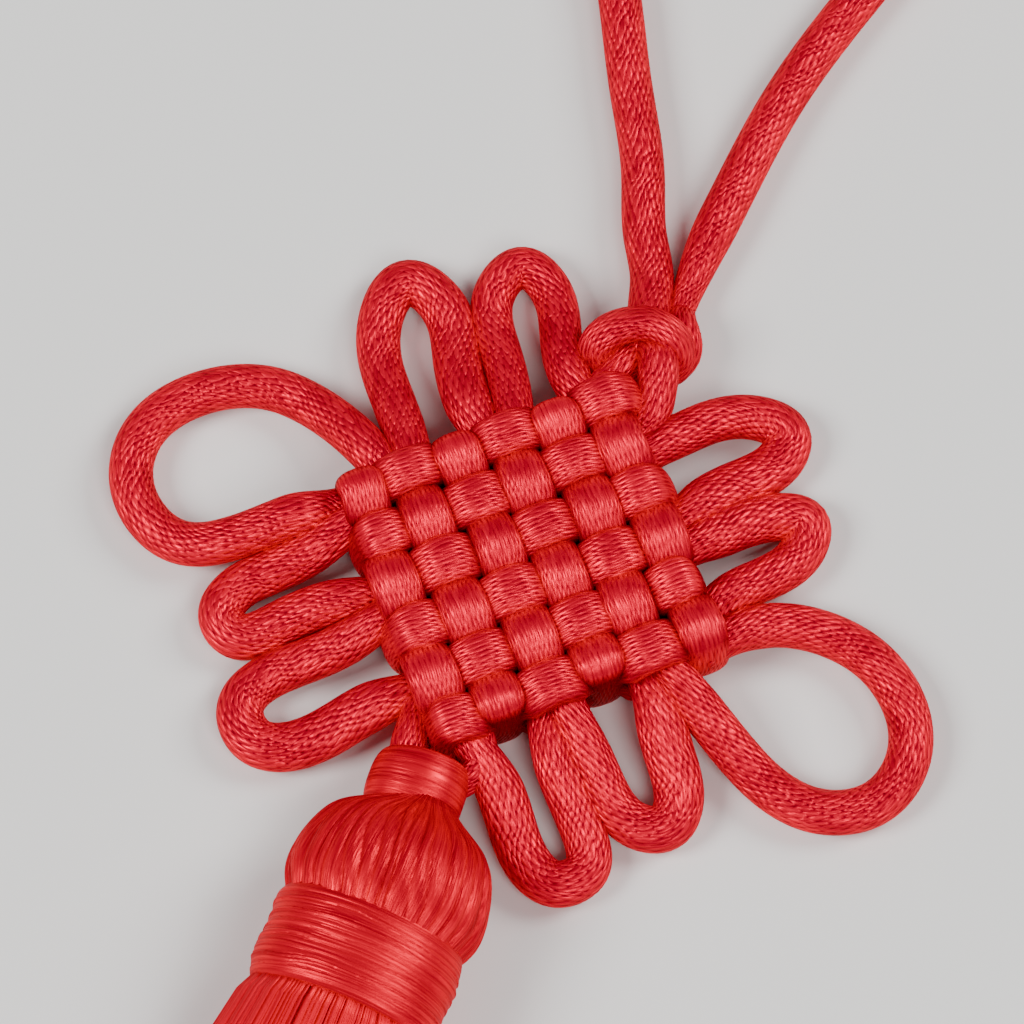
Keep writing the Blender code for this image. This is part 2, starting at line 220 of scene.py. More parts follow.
def mesh_object(name: str, points: np.ndarray, faces: list, maps: list) -> bpy.types.Object:
    """Make a smooth mesh object with its UV map, and link it to the scene.

    Args:
        name: The object's name.
        points: Its points, in mm from the square's centre.
        faces: Its faces.
        maps: UV places of the faces' corners.

    Returns:
        The new object, at the origin.
    """
    mesh = bpy.data.meshes.new(name)
    mesh.from_pydata(placed(points).tolist(), [], faces)
    layer = mesh.uv_layers.new(name="lay")
    layer.data.foreach_set("uv", np.vstack(maps).astype(np.float32).ravel())
    mesh.shade_smooth()
    item = bpy.data.objects.new(name, mesh)
    bpy.context.scene.collection.objects.link(item)
    return item


@dataclass
class SweptMesh:
    """A mesh of tubes with oval sections, with a UV map that runs round and along each tube.

    The map's first axis is the share of the way round, and its second is the length along the tube in mm.
    A square of 2 makes an oval section, and a larger one makes its corners squarer.
    """

    sides: int
    square: float = 2.0
    points: list = field(default_factory=list)
    faces: list = field(default_factory=list)
    maps: list = field(default_factory=list)
    total: int = 0

    def add(
        self,
        path: np.ndarray,
        half_width: Measure,
        half_height: Measure,
        up: np.ndarray | tuple,
        twist: float = 0.0,
        start: float = 0.0,
    ) -> None:
        """Add one tube.

        Args:
            path: Centreline in mm from the square's centre.
            half_width: Half the section's width at each point, in mm.
            half_height: Half its height at each point, in mm.
            up: The way the section's height points, for all points or for each.
            twist: Share of a turn that the surface pattern drifts by in a mm.
            start: Length in mm that the map starts at, so that tubes differ.
        """
        n = len(path)
        tangent = unit(np.gradient(path, axis=0))
        ups = np.broadcast_to(np.asarray(up, float), path.shape)
        ups = unit(ups - (ups * tangent).sum(axis=1, keepdims=True) * tangent)
        across = np.cross(tangent, ups)
        angle = np.arange(self.sides) * (math.tau / self.sides)
        c, s = np.cos(angle), np.sin(angle)
        power = 2.0 / self.square
        c, s = np.sign(c) * np.abs(c) ** power, np.sign(s) * np.abs(s) ** power
        width = np.broadcast_to(half_width, (n,))[:, None, None]
        height = np.broadcast_to(half_height, (n,))[:, None, None]
        ring = across[:, None] * c[None, :, None] * width + ups[:, None] * s[None, :, None] * height
        edge = np.hypot(np.diff(c, append=c[0]) * width.mean(), np.diff(s, append=s[0]) * height.mean())
        way = np.concatenate([[0.0], np.cumsum(edge)]) / edge.sum()
        run = start + np.concatenate([[0.0], np.cumsum(np.linalg.norm(np.diff(path, axis=0), axis=1))])
        faces, maps = tube_faces(way, run, twist)
        self.points.append((path[:, None] + ring).reshape(-1, 3))
        self.faces.extend([self.total + point for point in face] for face in faces)
        self.maps.extend(maps)
        self.total += n * self.sides

    def build(self, name: str) -> bpy.types.Object:
        """Make the object, with what would be below the floor lying on it.

        Args:
            name: The object's name.

        Returns:
            The new mesh object, at the origin.
        """
        points = np.vstack(self.points)
        points[:, 2] = np.maximum(points[:, 2], 0.0)
        return mesh_object(name, points, self.faces, self.maps)


# Shader graphs


class Value:
    """A shader socket that takes part in ordinary arithmetic."""

    def __init__(self, graph: "Graph", socket: bpy.types.NodeSocket) -> None:
        """Keep the socket and the graph that it belongs to."""
        self.graph = graph
        self.socket = socket

    def _math(self, operation: str, *others: "Value | float", first: float | None = None) -> "Value":
        """Feed this value and others into a Math node.

        Args:
            operation: The Math node's operation.
            others: The operands after this one.
            first: An operand that comes before this one.

        Returns:
            The node's result.
        """
        inputs = [*([first] if first is not None else []), self, *others]
        node = self.graph.node("ShaderNodeMath", {"operation": operation}, dict(enumerate(inputs)))
        return Value(self.graph, node.outputs[0])

    def __add__(self, other: "Value | float") -> "Value":
        """Sum."""
        return self._math("ADD", other)

    __radd__ = __add__

    def __sub__(self, other: "Value | float") -> "Value":
        """Difference."""
        return self._math("SUBTRACT", other)

    def __rsub__(self, other: float) -> "Value":
        """A number less this value."""
        return self._math("SUBTRACT", first=other)

    def __mul__(self, other: "Value | float") -> "Value":
        """Product."""
        return self._math("MULTIPLY", other)

    __rmul__ = __mul__

    def __truediv__(self, other: "Value | float") -> "Value":
        """Quotient."""
        return self._math("DIVIDE", other)

    def __pow__(self, other: "Value | float") -> "Value":
        """Power."""
        return self._math("POWER", other)

    def floor(self) -> "Value":
        """The whole number below."""
        return self._math("FLOOR")

    def fraction(self) -> "Value":
        """The part after the point."""
        return self._math("FRACT")

    def sine(self) -> "Value":
        """Sine, of radians."""
        return self._math("SINE")

    def wrapped(self, count: int) -> "Value":
        """The remainder after division, never below 0."""
        return self._math("FLOORED_MODULO", float(count))

    def size(self) -> "Value":
        """Absolute value."""
        return self._math("ABSOLUTE")

    def larger(self, other: "Value") -> "Value":
        """The larger of this value and another."""
        return self._math("MAXIMUM", other)

    def spread(self, low: float, high: float) -> "Value":
        """What lies this share of the way from low to high."""
        return self * (high - low) + low

    def clamped(self) -> "Value":
        """The value, kept from 0 to 1."""
        return self._math("MAXIMUM", 0.0)._math("MINIMUM", 1.0)

    def eased(self, low: float, high: float) -> "Value":
        """Ease from 0 to 1 as the value goes from low to high."""
        node = self.graph.node(
            "ShaderNodeMapRange",
            {"interpolation_type": "SMOOTHSTEP"},
            {"Value": self, "From Min": low, "From Max": high},
        )
        return Value(self.graph, node.outputs["Result"])


class Graph:
    """A material's node tree, and short ways to add to it."""

    def __init__(self, name: str) -> None:
        """Start a material with a Principled shader.

        Args:
            name: The material's name.
        """
        self.material = bpy.data.materials.new(name)
        self.material.use_nodes = True
        self.tree = self.material.node_tree
        self.shader = self.tree.nodes["Principled BSDF"]

    def node(self, kind: str, settings: dict, sockets: dict) -> bpy.types.Node:
        """Add a node.

        Args:
            kind: The node's type.
            settings: Attributes to set on it.
            sockets: Inputs by name or number, each a number, a colour, a socket or a Value.

        Returns:
            The node.
        """
        made = self.tree.nodes.new(kind)
        for key, value in settings.items():
            setattr(made, key, value)
        for key, value in sockets.items():
            self.feed(made.inputs[key], value)
        return made

    def feed(self, socket: bpy.types.NodeSocket, value: object) -> None:
        """Link a value to a socket, or set it there.

        Args:
            socket: The input.
            value: A number, a colour, a socket or a Value.
        """
        if isinstance(value, Value):
            self.tree.links.new(value.socket, socket)
        elif isinstance(value, bpy.types.NodeSocket):
            self.tree.links.new(value, socket)
        else:
            socket.default_value = value

    def lay(self) -> tuple[Value, Value]:
        """Read the swept UV map.

        Returns:
            The share of the way round, and the length along in mm.
        """
        uv = self.node("ShaderNodeUVMap", {"uv_map": "lay"}, {})
        parts = self.node("ShaderNodeSeparateXYZ", {}, {"Vector": uv.outputs["UV"]})
        return Value(self, parts.outputs["X"]), Value(self, parts.outputs["Y"])

    def place(self) -> tuple[Value, Value, Value]:
        """Read the place on the part.

        Returns:
            X, Y and Z in mm.
        """
        at = self.node("ShaderNodeTexCoord", {}, {}).outputs["Object"]
        parts = self.node("ShaderNodeSeparateXYZ", {}, {"Vector": at})
        return tuple(Value(self, parts.outputs[axis]) / MM for axis in "XYZ")

    def vector(self, x: Value, y: Value | float, z: Value | float = 0.0) -> bpy.types.NodeSocket:
        """Three values as one vector."""
        return self.node("ShaderNodeCombineXYZ", {}, {"X": x, "Y": y, "Z": z}).outputs[0]

    def noise(self, around: Value, radius: float, along: Value, detail: float = 2.0) -> Value:
        """Smooth noise from 0 to 1 on a tube, read so that it has no seam.

        Args:
            around: The share of the way round.
            radius: The tube's radius, in units of the noise.
            along: The place along it, in the same units.
            detail: Its octaves.

        Returns:
            The noise.
        """
        turn = around * math.tau
        at = self.vector(turn.sine() * radius, (turn + math.pi / 2).sine() * radius, along)
        sockets = {"Vector": at, "Scale": 1.0, "Detail": detail}
        return Value(self, self.node("ShaderNodeTexNoise", {}, sockets).outputs[0])

    def scatter(self, x: Value, y: Value | float = 0.0) -> Value:
        """A random number for each pair of whole numbers.

        Args:
            x: The first of them.
            y: The second.

        Returns:
            A number from 0 to 1.
        """
        settings = {"noise_dimensions": "2D"}
        made = self.node("ShaderNodeTexWhiteNoise", settings, {"Vector": self.vector(x, y)})
        return Value(self, made.outputs["Value"])

    def mix(self, share: Value, a: object, b: object) -> bpy.types.NodeSocket:
        """Blend two colours, with this share of the second."""
        node = self.node("ShaderNodeMix", {"data_type": "RGBA"}, {0: share, 6: a, 7: b})
        return node.outputs[2]

    def bump(self, height: Value, depth: float) -> bpy.types.NodeSocket:
        """A normal bumped by a height from 0 to 1, where 1 stands for this depth in mm."""
        return self.node("ShaderNodeBump", {}, {"Height": height, "Distance": depth * MM}).outputs[0]


@dataclass(frozen=True, kw_only=True)
class RedSilk:
    """What all the red silk has: colours of its grooves and crowns, a shine that is red too, and a relief."""

    name: str
    crown: tuple
    groove: tuple
    metallic: float
    depth: float
    roughness: float = 0.33
    shine: float = 0.12
    tint: tuple = (1.0, 0.05, 0.10, 1.0)

    def finish(
        self, g: Graph, colour: bpy.types.NodeSocket, dull: Value, relief: Value
    ) -> bpy.types.Material:
        """Join colour, shine and relief in the material.

        Args:
            g: The material's graph.
            colour: Its colour.
            dull: How much rougher it is than in its smoothest places.
            relief: Its height, from 0 to 1.

        Returns:
            The material.
        """
        for name, value in (
            ("Base Color", colour),
            ("Roughness", dull + self.roughness),
            ("Metallic", self.metallic),
            ("Specular IOR Level", self.shine),
            ("Specular Tint", self.tint),
            ("Normal", g.bump(relief, self.depth)),
        ):
            g.feed(g.shader.inputs[name], value)
        return g.material


@dataclass(frozen=True, kw_only=True)
class SatinFinish(RedSilk):
    """Satin cord: spindle-shaped stitches of silk in two lattices, half a stitch apart, deep red between.

    Drift, patches and fibres are noise, given by its radius round the cord and its steps in a mm along it.
    A fibre's radius is a share of the columns. The colour is lighter on the stitches' tops and darker in the
    grooves between them, which is painted shade; the tones of stitches, patches and fibres vary at random.
    """

    columns: int
    stitch: float
    # The crown colour is that of the stitches' tops; the darker groove colour is painted shade between them
    crown: tuple = (1.0, 0.0, 0.037, 1.0)
    groove: tuple = (0.20, 0.0, 0.009, 1.0)
    # Colour of the shade painted into the crevices between the woven square's strands, if any
    crevice_shade: tuple | None = None
    metallic: float = 0.62
    depth: float = 0.15
    wander: float = 1.6
    drift: tuple = (0.9, 0.5)
    patches: tuple = (0.7, 0.3)
    patch_contrast: tuple = (0.2, 0.8)
    patch_tones: tuple = (0.8, 1.2)
    fibres: tuple = (0.6, 0.9)
    fibre_contrast: tuple = (0.25, 0.75)
    fibre_tones: tuple = (0.775, 1.225)
    tones: tuple = (0.6, 1.1)
    other_tones: float = 100.0
    meeting: float = 8.0
    side_power: float = 2.0
    end_power: float = 2.6
    # How sharply the painted shade darkens the colour from the stitches' tops into the grooves
    shading: float = 0.75
    dull: float = 0.2
    relief: tuple = (0.75, 0.15, 0.1)

    def stitches(self, g: Graph, across: Value, run: Value, number: float) -> tuple[Value, Value]:
        """One lattice of stitches.

        Args:
            g: The material's graph.
            across: Place round the cord, in stitches.
            run: Place along it, in stitches.
            number: A number that sets this lattice's tones apart.

        Returns:
            The stitches' height from 0 to 1, and a random tone for each.
        """
        side = (across.fraction() * 2 - 1).size()
        end = (run.fraction() * 2 - 1).size()
        tone = g.scatter(across.floor().wrapped(self.columns) + number, run.floor())
        return (1.0 - side**self.side_power - end**self.end_power).clamped(), tone

    def build(self) -> bpy.types.Material:
        """Make the material.

        Returns:
            The material.
        """
        g = Graph(self.name)
        around, along = g.lay()
        drift = g.noise(around, self.drift[0], along * self.drift[1]) - 0.5
        across = around * self.columns + drift * self.wander
        run = along / self.stitch + drift * self.wander
        first, tone = self.stitches(g, across, run, 0.0)
        second, other = self.stitches(g, across + 0.5, run + 0.5, self.other_tones)
        height = first.larger(second)
        share = ((first - second) * self.meeting + 0.5).clamped()
        tone = tone * share + other * (1 - share)
        fibre = g.noise(around, self.columns * self.fibres[0], along * self.fibres[1])
        fibre = fibre.eased(*self.fibre_contrast)
        patch = g.noise(around, self.patches[0], along * self.patches[1]).eased(*self.patch_contrast)
        # Brightness follows the stitches' height, darker towards the grooves: painted shade; fibres, tones
        # and patches vary at random
        bright = height**self.shading * fibre.spread(*self.fibre_tones)
        bright = (bright * tone.spread(*self.tones) * patch.spread(*self.patch_tones)).clamped()
        colour = g.mix(bright, self.groove, self.crown)
        # Shade painted into the crevices between the woven square's strands
        if self.crevice_shade is not None:
            colour = g.mix(shade_between_strands(g), colour, self.crevice_shade)
        relief = height * self.relief[0] + fibre * self.relief[1] + tone * self.relief[2]
        return self.finish(g, colour, (1 - height) * self.dull, relief)


@dataclass(frozen=True, kw_only=True)
class SilkFinish(RedSilk):
    """Loose silk: fine filaments along the thread, broader streaks, and lighter and darker strands.

    The streaks are noise like the filaments, with shares of their radius and of their steps along. The colour
    follows the same noise as the relief and is darker where it is low, which is painted shade; the strands'
    tones vary at random.
    """

    lines: float
    stretch: float = 0.25
    # The groove colour, where the relief is low, is painted shade
    crown: tuple = (0.86, 0.0, 0.024, 1.0)
    groove: tuple = (0.26, 0.0, 0.008, 1.0)
    metallic: float = 0.55
    depth: float = 0.06
    detail: float = 3.0
    streaks: tuple = (0.2, 0.4)
    streak_share: float = 0.4
    contrast: tuple = (0.30, 0.66)
    strand: float = 1000.0
    strand_share: float = 0.3
    dull: float = 0.15

    def build(self) -> bpy.types.Material:
        """Make the material.

        Returns:
            The material.
        """
        g = Graph(self.name)
        around, along = g.lay()
        radius = self.lines / math.tau
        fine = g.noise(around, radius, along * self.stretch, self.detail)
        broad = g.noise(around, radius * self.streaks[0], along * self.stretch * self.streaks[1])
        line = (fine * (1 - self.streak_share) + broad * self.streak_share).eased(*self.contrast)
        strand = g.scatter((along / self.strand).floor())
        silk = line * (1 - self.strand_share) + strand * self.strand_share
        # Colour and relief come from the same value, so the colour darkens where the relief is low: painted
        # shade
        return self.finish(g, g.mix(silk, self.groove, self.crown), (1 - silk) * self.dull, silk)


# The mask of the shade painted into the crevices between the woven square's strands
def shade_between_strands(g: Graph) -> Value:
    """How far down between the woven square's strands a place lies.

    Args:
        g: The material's graph.

    Returns:
        How much painted shade it gets: from 0 on the strands' crowns and the square's rim to 1 in the
            crevices.
    """
    x, y, z = g.place()
    x, y = x - KNOT_CENTRE[0], y - KNOT_CENTRE[1]
    u, w = (x + y) * TURN - SETTLED[0], (y - x) * TURN - SETTLED[1]
    rim = u.size().larger(w.size()).eased(HALF_SQUARE + RIM[0], HALF_SQUARE + RIM[1])
    crown = (z - MID_HEIGHT).size().eased(*CREVICE_TO_CROWN)
    return 1 - crown.larger(rim)


def dress(item: bpy.types.Object, material: bpy.types.Material, slot: str, *nodes: str) -> bpy.types.Object:
    """Give a piece its material, hang it under the root body and hide the solids that it replaces.

    Args:
        item: The piece.
        material: Its material.
        slot: Not used.
        nodes: The solids that it replaces.

    Returns:
        The piece.
    """
    item.data.materials.append(material)
    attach(item, "root")
    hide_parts(*nodes)
    log.info("%s: %d faces", item.name, len(item.data.polygons))
    return item


# The woven square


@dataclass
class WovenSquare:
    """Twelve strand pairs that weave over and under on both faces and wrap round the square's edge."""

    sides: int = 32
    square: float = 2.5
    step: float = 0.15
    top: float = 1.98
    low: float = 0.55
    crown_width: float = 1.46
    dive_width: float = 1.05
    crown_height: float = 0.90
    dive_height: float = 0.60
    steepness: float = 0.85
    widening: tuple = (0.12, 0.54)
    wrap_steps: int = 26
    wrap_pinch: tuple = (0.12, 0.08)
    row_wraps: tuple = (0.0, -0.63, -0.3, -0.4, -0.8, -0.8)
    column_wraps: tuple = (-0.69, -1.2, -0.69, -1.2, -1.0, -0.4)
    exit_past: float = -0.35
    uneven: float = 0.08
    lift_share: float = 0.5
    swell_share: float = 0.5
    twist: float = 0.012
    map_start: float = 40.0
    seed: int = 7

    def rise(self, x: np.ndarray, k: int) -> np.ndarray:
        """How far strand k has risen x cells past its first cell's middle: 0 is under and 1 on top."""
        wave = np.cos(math.pi * (x + k + 1))
        return 0.5 + 0.5 * np.sign(wave) * np.abs(wave) ** self.steepness

    def strand(self, k: int, wrap_out: float, rng: np.random.Generator) -> dict:
        """One strand pair: out of its exit over the front, round the edge and back over the other face.

        Args:
            k: Number of the row or column, from 0.
            wrap_out: How far its wrap's centreline stands out past the square's even edge.
            rng: Source of small unevenness.

        Returns:
            Arrays along the strand: place along, sideways shift, height, widths and outward direction.
        """
        way = 1.0 if k % 2 == 0 else -1.0
        last = HALF_SQUARE - PITCH / 2
        along = np.arange(-HALF_SQUARE - self.exit_past, last, self.step)
        x = (way * along + HALF_SQUARE) / PITCH - 0.5
        rise = np.where(along < -last, 0.0, self.rise(x, k))
        uneven = rng.normal(0.0, self.uneven, (3, CELLS + 2))
        cells = np.arange(-1, CELLS + 1)
        lift = np.interp(x, cells, uneven[0]) * rise * self.lift_share
        shift = np.interp(x, cells, uneven[1])
        swell = 1 + self.swell_share * np.interp(x, cells, uneven[2])
        height = self.low + (self.top - self.low) * rise + lift
        angle = np.linspace(math.pi / 2, -math.pi / 2, self.wrap_steps)[1:-1]
        out = PITCH / 2 + wrap_out
        arc_along = last + out * np.cos(angle)
        arc_height = self.top * np.sin(angle)
        flat = np.concatenate([along, arc_along, along[::-1]])
        tall = np.concatenate([height, arc_height, -height[::-1]])
        full = smoothstep(rise, *self.widening)
        widths = (self.dive_width + (self.crown_width - self.dive_width) * full) * swell
        heights = self.dive_height + (self.crown_height - self.dive_height) * rise
        arc_width = self.crown_width - self.wrap_pinch[0] * np.cos(angle)
        arc_thick = self.crown_height - self.wrap_pinch[1] * np.cos(angle)
        outward = np.concatenate(
            [
                np.tile([0.0, 1.0], (len(along), 1)),
                np.column_stack([np.cos(angle), np.sin(angle)]),
                np.tile([0.0, -1.0], (len(along), 1)),
            ]
        )
        return {
            "along": way * flat,
            "shift": np.concatenate([shift, np.full(len(angle), shift[-1]), shift[::-1]]),
            "height": tall,
            "width": np.concatenate([widths, arc_width, widths[::-1]]),
            "thick": np.concatenate([heights, arc_thick, heights[::-1]]),
            "out_along": way * outward[:, 0],
            "out_up": outward[:, 1],
        }

    def build(self, finish: bpy.types.Material) -> None:
        """Make the row strands and the column strands as two pieces.

        Args:
            finish: The cord's material.
        """
        rng = np.random.default_rng(self.seed)
        for name, along_rows, wraps in (
            ("weave_rows", True, self.row_wraps),
            ("weave_columns", False, self.column_wraps),
        ):
            mesh = SweptMesh(self.sides, self.square)
            for k in range(CELLS):
                s = self.strand(k, wraps[k], rng)
                place = (CELLS - 1) / 2 - k
                fixed = (place if along_rows else -place) * PITCH + s["shift"]
                u, w = (s["along"], fixed) if along_rows else (fixed, s["along"])
                x, y = settled(u, w)
                path = np.column_stack([x, y, MID_HEIGHT + s["height"]])
                zero = np.zeros_like(s["out_along"])
                ou, ow = (s["out_along"], zero) if along_rows else (zero, s["out_along"])
                ox, oy = turned(ou, ow)
                up = np.column_stack([ox, oy, s["out_up"]])
                mesh.add(path, s["width"], s["thick"], up, self.twist, self.map_start * k)
            dress(mesh.build(name), finish, "satin_cord", "knot_cord")


# Ears


@dataclass(frozen=True)
class Ear:
    """One ear: the exits of its two legs, and the places in mm that its bend goes through.

    The twist is what the satin's pattern turns by in a mm, the widths are the legs' half widths, and over is
    how far the second leg is lifted over its neighbour.
    """

    first: tuple
    second: tuple
    bend: tuple
    twist: float = 0.0
    widths: tuple = (1.28, 1.28)
    over: float = 0.0


EARS = [
    Ear(
        (Side.TOP, 1, 1),
        (Side.TOP, 3, -1),
        ((-11.8, 7.7), (-14.6, 12.1), (-14.2, 15.2), (-11.6, 14.6), (-9.6, 11.9), (-7.6, 9.05)),
        0.020,
        (1.28, 1.44),
    ),
    Ear(
        (Side.TOP, 3, 1),
        (Side.TOP, 5, -1),
        ((-7.3, 13.0), (-9.2, 16.5), (-8.4, 18.7), (-6.35, 18.1), (-4.75, 15.85), (-3.2, 13.25)),
        -0.016,
        (1.24, 1.24),
    ),
    Ear(
        (Side.LEFT, 0, 1),
        (Side.LEFT, 2, -1),
        ((-13.4, -4.1), (-15.6, -6.3), (-15.8, -8.2), (-14.5, -9.0), (-12.4, -7.45), (-10.2, -5.55)),
        0.018,
        (1.32, 1.36),
    ),
    Ear(
        (Side.LEFT, 2, 1),
        (Side.LEFT, 4, -1),
        ((-9.0, -8.1), (-12.0, -10.9), (-12.5, -13.0), (-10.9, -14.5), (-8.05, -13.35), (-5.75, -10.75)),
        -0.018,
        (1.30, 1.48),
    ),
    Ear(
        (Side.BOTTOM, 0, 1),
        (Side.BOTTOM, 2, -1),
        ((3.6, -12.45), (5.95, -14.95), (8.4, -15.75), (9.6, -14.3), (8.15, -11.9), (5.6, -9.4)),
        0.016,
        (1.42, 1.28),
    ),
    Ear(
        (Side.BOTTOM, 2, 1),
        (Side.BOTTOM, 4, -1),
        ((8.1, -9.0), (10.8, -10.7), (12.8, -10.1), (12.8, -8.25), (11.45, -6.35), (9.9, -4.45)),
        -0.018,
        (1.30, 1.48),
    ),
    Ear(
        (Side.RIGHT, 1, 1),
        (Side.RIGHT, 3, -1),
        ((4.7, 12.5), (7.6, 15.15), (9.9, 15.0), (10.15, 13.4), (8.2, 10.2), (6.75, 7.45)),
        0.020,
        (1.28, 1.48),
    ),
    Ear(
        (Side.RIGHT, 3, 1),
        (Side.RIGHT, 5, -1),
        ((8.4, 6.6), (11.0, 9.6), (13.0, 10.3), (13.5, 8.7), (12.1, 5.7), (10.5, 3.2)),
        -0.018,
        (1.44, 1.28),
    ),
    Ear(
        (Side.TOP, 1, -1),
        (Side.LEFT, 0, -1),
        ((-14.6, 5.4), (-18.5, 6.0), (-22.1, 4.4), (-24.5, 0.7), (-23.5, -3.2), (-19.5, -5.0), (-15.4, -2.7)),
        0.024,
        (1.30, 1.30),
        0.9,
    ),
    Ear(
        (Side.RIGHT, 5, 1),
        (Side.BOTTOM, 4, 1),
        ((13.4, 3.0), (17.6, 4.35), (21.35, 3.1), (23.8, -0.15), (23.3, -4.0), (20.0, -5.9), (15.1, -4.7)),
        -0.022,
        (1.30, 1.32),
    ),
]


@dataclass
class EarSet:
    """The ten ears of cord round the square's edge.

    A leg is lifted or sunk beside its neighbour at its root, and thin there. Bounds are in mm along it, but
    the legs' change of width has shares of the ear's length.
    """

    sides: int = 36
    square: float = 2.1
    step: float = 0.22
    half_height: float = 1.18
    root_width: float = 1.12
    spread: float = 0.5
    depth: float = 1.8
    drop: float = 8.0
    rest: float = 1.18
    lower: float = 0.4
    layer: float = 0.4
    layer_length: float = 4.5
    over_rise: tuple = (0.0, 3.0)
    over_fall: tuple = (6.0, 11.0)
    grown: tuple = (-0.6, 2.6)
    changes_width: tuple = (0.25, 0.75)
    map_start: float = 60.0

    def leg(self, side: Side, index: int, shift: int) -> np.ndarray:
        """Where a leg starts, inside the square's edge.

        Args:
            side: The side that the leg leaves.
            index: Its exit.
            shift: Which way it stands off the exit.

        Returns:
            X and Y in mm from the square's centre.
        """
        out, along = (np.array(axis) for axis in side.value)
        off = shift * self.spread
        place = out * (HALF_SQUARE - self.depth) + along * ((index - (CELLS - 1) / 2) * PITCH + off)
        return np.array(settled(place[0], place[1] - self.lower))

    def route(self, ear: Ear) -> np.ndarray:
        """The centreline of one ear with its half widths.

        Args:
            ear: The ear.

        Returns:
            Rows of X, Y, Z, half width and half height in mm.
        """
        roots = [self.leg(*leg) for leg in (ear.first, ear.second)]
        flat = [roots[0], *ear.bend, roots[1]]
        flat = spline([(*p, 0.0) for p in flat], self.step)[:, :2]
        run = np.concatenate([[0.0], np.cumsum(np.linalg.norm(np.diff(flat, axis=0), axis=1))])
        away = np.minimum(run, run[-1] - run) - self.depth
        fall = smoothstep(away / self.drop)
        height = MID_HEIGHT + (self.rest - MID_HEIGHT) * fall
        layer = np.where(run < run[-1] / 2, ear.first[2], ear.second[2])
        height += self.layer * layer * (1 - smoothstep((away + self.depth) / self.layer_length))
        over = smoothstep(away, *self.over_rise) * (1 - smoothstep(away, *self.over_fall))
        height += ear.over * over * (run > run[-1] / 2)
        grown = smoothstep(away, *self.grown)
        first, second = ear.widths
        full = first + (second - first) * smoothstep(run / run[-1], *self.changes_width)
        half_width = self.root_width + (full - self.root_width) * grown
        return np.column_stack([flat, height, half_width, np.full(len(flat), self.half_height)])

    def build(self, finish: bpy.types.Material) -> None:
        """Make the ears.

        Args:
            finish: The cord's material.
        """
        mesh = SweptMesh(self.sides, self.square)
        for number, ear in enumerate(EARS):
            rows = self.route(ear)
            mesh.add(rows[:, :3], rows[:, 3], rows[:, 4], (0, 0, 1), ear.twist, self.map_start * number)
        dress(mesh.build("ears"), finish, "satin_cord", "knot_cord")


# Small knots above and below the square


@dataclass(frozen=True)
class Wrap:
    """A stretch of cord in a small knot: rows of X, Y, Z, half width and half height in mm.

    Its flat side faces up and, by the share given, away from the knot's middle.
    """

    rows: tuple
    outward: float = 0.0
    twist: float = 0.006


# The middles of the two small knots and their wraps, in mm from the square's centre
BUTTON_MIDDLE = (0.3, 15.9, 2.0)
BUTTON_KNOT = [
    Wrap(
        (
            (-1.2, 13.2, 1.3, 0.9, 0.8),
            (-1.75, 14.1, 2.0, 1.05, 0.85),
            (-2.15, 14.96, 3.0, 1.15, 0.9),
            (-1.7, 15.94, 3.7, 1.2, 0.9),
            (-0.68, 16.78, 4.0, 1.22, 0.9),
            (0.41, 17.2, 4.0, 1.22, 0.9),
            (1.4, 17.2, 3.7, 1.2, 0.9),
            (2.2, 16.9, 3.0, 1.15, 0.9),
            (2.4, 16.2, 2.0, 1.05, 0.9),
            (1.8, 15.8, 1.3, 1.0, 0.9),
        ),
        0.7,
    ),
    Wrap(
        (
            (1.5, 19.3, 1.8, 0.8, 0.8),
            (1.7, 18.6, 2.1, 1.0, 1.0),
            (2.1, 17.8, 2.2, 1.15, 1.1),
            (2.4, 17.1, 1.9, 1.15, 1.15),
            (2.2, 16.4, 1.5, 1.1, 1.1),
            (1.4, 15.9, 1.2, 1.0, 1.0),
        ),
        0.4,
    ),
    Wrap(
        (
            (1.3, 9.6, 2.6, 1.0, 1.0),
            (2.1, 10.7, 2.8, 1.05, 1.15),
            (2.35, 11.9, 2.9, 1.15, 1.2),
            (2.3, 13.0, 3.0, 1.2, 1.2),
            (2.1, 14.0, 3.1, 1.2, 1.2),
            (1.8, 15.0, 3.2, 1.2, 1.15),
            (1.3, 15.9, 3.1, 1.15, 1.1),
            (0.5, 16.6, 2.5, 1.0, 1.0),
        ),
    ),
    Wrap(
        (
            (-1.7, 10.6, 2.75, 1.0, 1.0),
            (-1.2, 12.0, 2.6, 1.0, 1.0),
            (-0.8, 13.3, 2.6, 1.0, 1.0),
            (-0.5, 14.5, 2.6, 1.0, 1.0),
            (-0.3, 15.8, 2.4, 1.0, 1.0),
        ),
    ),
    Wrap(
        (
            (0.2, 13.2, 1.5, 1.0, 1.0),
            (0.3, 15.3, 1.8, 1.3, 1.2),
            (0.5, 16.6, 2.1, 1.8, 1.5),
            (0.6, 18.4, 1.8, 1.2, 1.1),
        ),
    ),
]

NECK_MIDDLE = (-0.95, -14.3, 3.1)
NECK_KNOT = [
    Wrap(
        (
            (-2.7, -8.4, 2.4, 1.0, 1.0),
            (-2.8, -9.6, 2.75, 0.95, 1.05),
            (-2.65, -10.7, 3.0, 0.95, 1.05),
            (-2.4, -11.9, 3.4, 1.05, 1.0),
            (-2.0, -13.2, 3.4, 1.1, 1.0),
        ),
    ),
    Wrap(
        (
            (0.0, -9.2, 2.6, 1.0, 1.0),
            (1.05, -9.9, 2.9, 0.95, 1.05),
            (1.6, -10.8, 3.0, 0.9, 1.05),
            (1.65, -11.8, 2.9, 0.9, 1.05),
            (1.2, -12.6, 2.7, 0.95, 1.0),
            (0.2, -13.4, 2.4, 1.0, 1.0),
        ),
    ),
    Wrap(
        (
            (-0.8, -11.2, 2.1, 1.2, 1.0),
            (-0.9, -12.9, 2.4, 1.7, 1.4),
            (-0.7, -14.0, 2.6, 1.8, 1.6),
            (-0.3, -15.6, 3.4, 1.9, 1.7),
        ),
    ),
]


